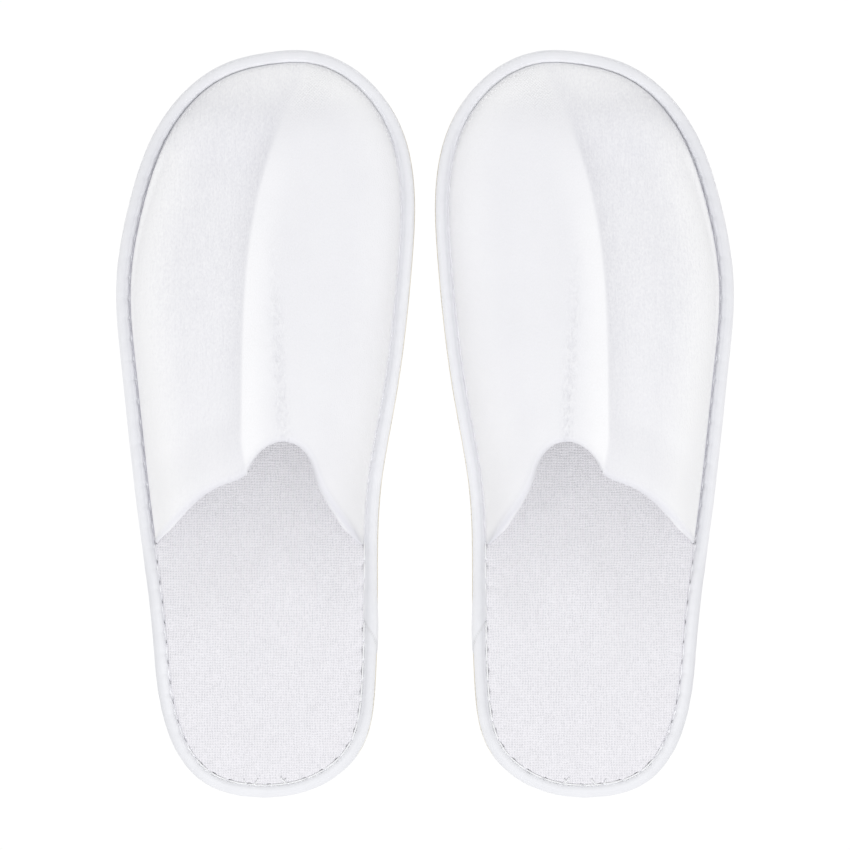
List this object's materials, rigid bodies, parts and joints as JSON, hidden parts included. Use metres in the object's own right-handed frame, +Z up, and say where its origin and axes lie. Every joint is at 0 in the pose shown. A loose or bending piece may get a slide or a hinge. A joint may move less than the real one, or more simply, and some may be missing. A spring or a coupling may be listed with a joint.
{
  "type": "pair of spa slippers",
  "caption": "Pair of closed-toe spa slippers with bound terry insoles, a soft padded upper with an open heel, and flat foam outsoles.",
  "frame": {"origin": "on the floor, midway between the two slippers and midway between heel and toe", "axes": "+Y towards the toes, +Z up, +X towards the right slipper"},
  "size_m": [0.2356, 0.285, 0.0464],
  "materials": {
    "outsole_foam": "matt cream foam rubber with a fine embossed tread",
    "backing_cloth": "thin white non-woven cloth",
    "sponge": "white open-cell sponge",
    "insole_terry": "white terry knit with small loops in a grid",
    "binding_tape": "smooth white satin-faced tape",
    "thread": "white twisted sewing thread",
    "upper_velour": "white cut-pile velour terry, soft sheen, pile brushed in streaks",
    "lining_cloth": "plain white brushed lining"
  },
  "bodies": {
    "left_slipper": {"left_outsole": "outsole_foam", "left_insole_backing": "backing_cloth", "left_insole_padding": "sponge", "left_insole_cover": "insole_terry", "left_edge_binding": "binding_tape", "left_needle_thread": "thread", "left_under_thread": "thread", "left_upper_pile": "upper_velour", "left_upper_sponge": "sponge", "left_upper_lining": "lining_cloth"},
    "right_slipper": {"right_outsole": "outsole_foam", "right_insole_backing": "backing_cloth", "right_insole_padding": "sponge", "right_insole_cover": "insole_terry", "right_edge_binding": "binding_tape", "right_needle_thread": "thread", "right_under_thread": "thread", "right_upper_pile": "upper_velour", "right_upper_sponge": "sponge", "right_upper_lining": "lining_cloth"}
  },
  "joints": [
    {"name": "right_slipper_lift", "type": "slide", "parent": "left_slipper", "child": "right_slipper", "axis": [0, 0, 1], "range_m": [0, 0.2]}
  ]
}
